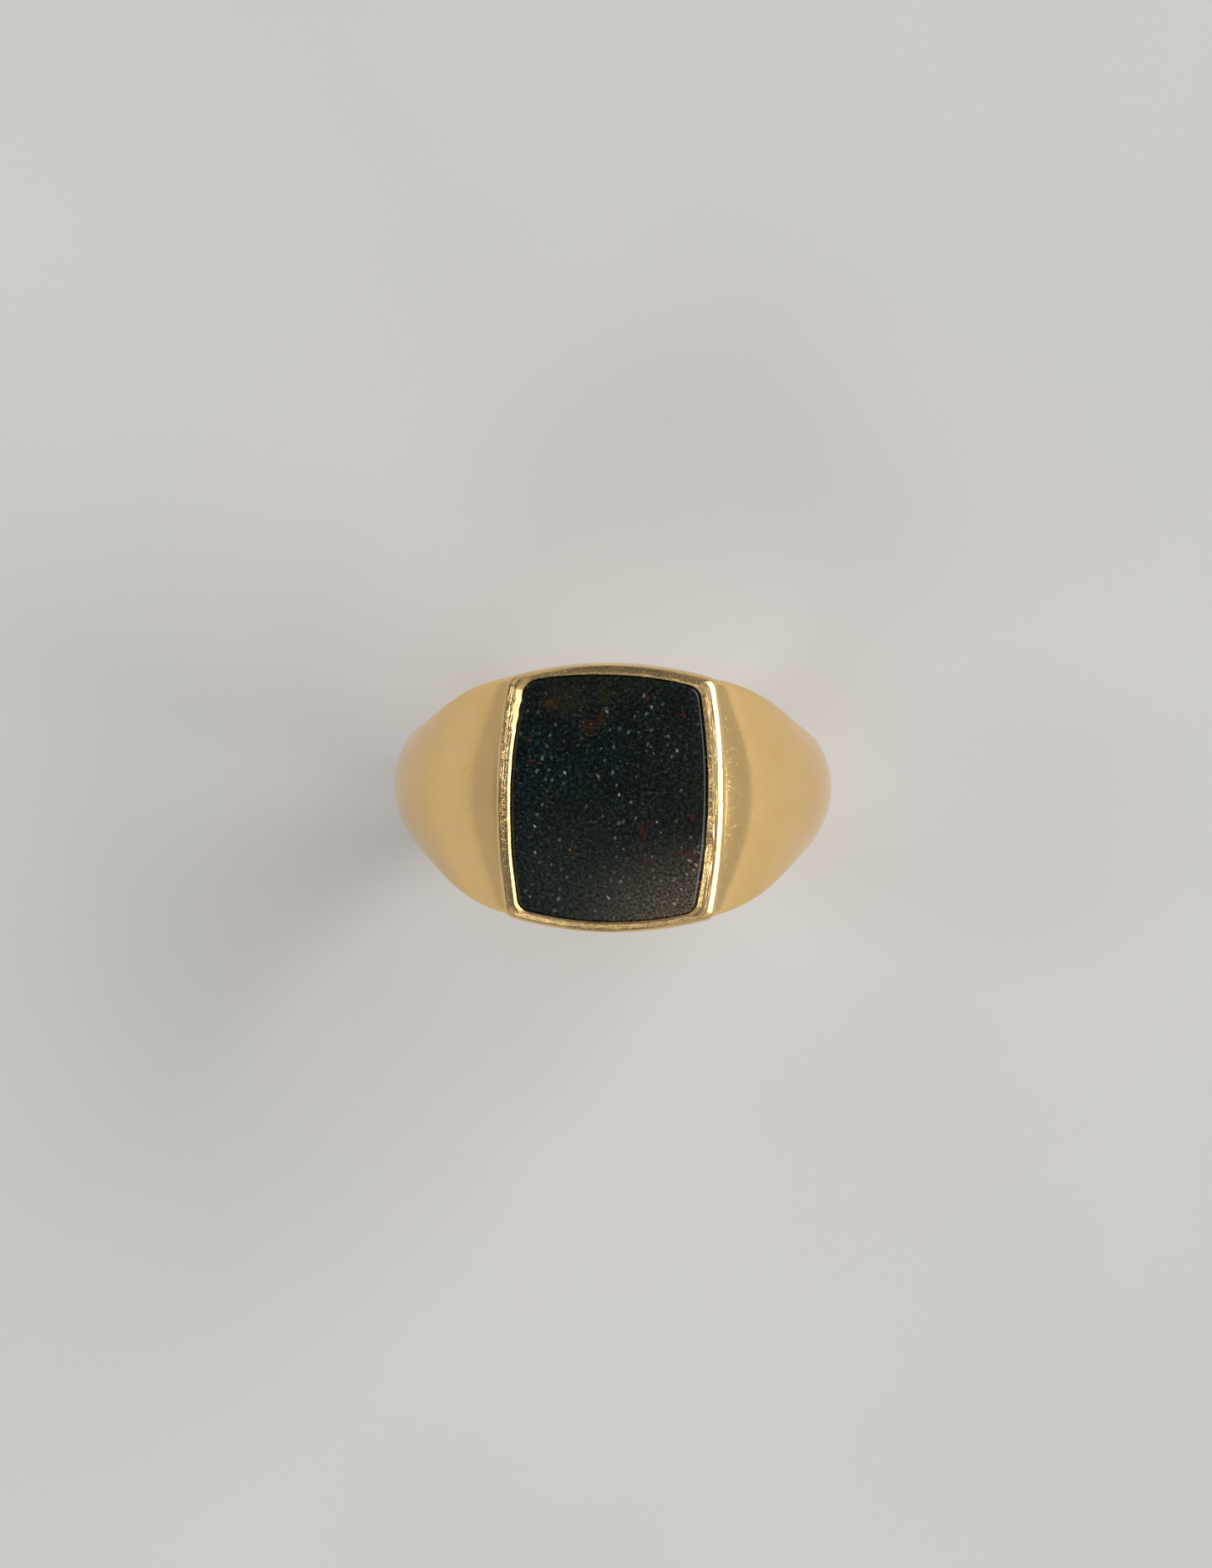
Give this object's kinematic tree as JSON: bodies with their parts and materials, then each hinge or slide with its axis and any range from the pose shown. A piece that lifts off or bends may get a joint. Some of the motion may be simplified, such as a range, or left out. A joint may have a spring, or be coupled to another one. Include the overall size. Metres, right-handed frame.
{
  "type": "signet ring",
  "caption": "Gold signet ring with tapered domed shoulders and a proud cushion-shaped bezel holding a flat bloodstone tablet.",
  "frame": {"origin": "centre of the round finger hole, midway along the finger", "axes": "+Y along the finger, +X to the wearer's side of the band, +Z out of the finger hole through the middle of the stone's table"},
  "size_m": [0.0224, 0.0134, 0.0238],
  "materials": {
    "gold": "polished",
    "bezel_gold": "polished",
    "bloodstone": "gloss",
    "setting_cement": "matte"
  },
  "bodies": {
    "root": {"shank": "gold", "shoulder_left": "gold", "shoulder_right": "gold", "head_block": "gold", "bezel_floor": "gold", "bezel_wall": "bezel_gold", "bearing_ledge": "gold", "setting_bed": "setting_cement", "bloodstone": "bloodstone"}
  },
  "joints": []
}
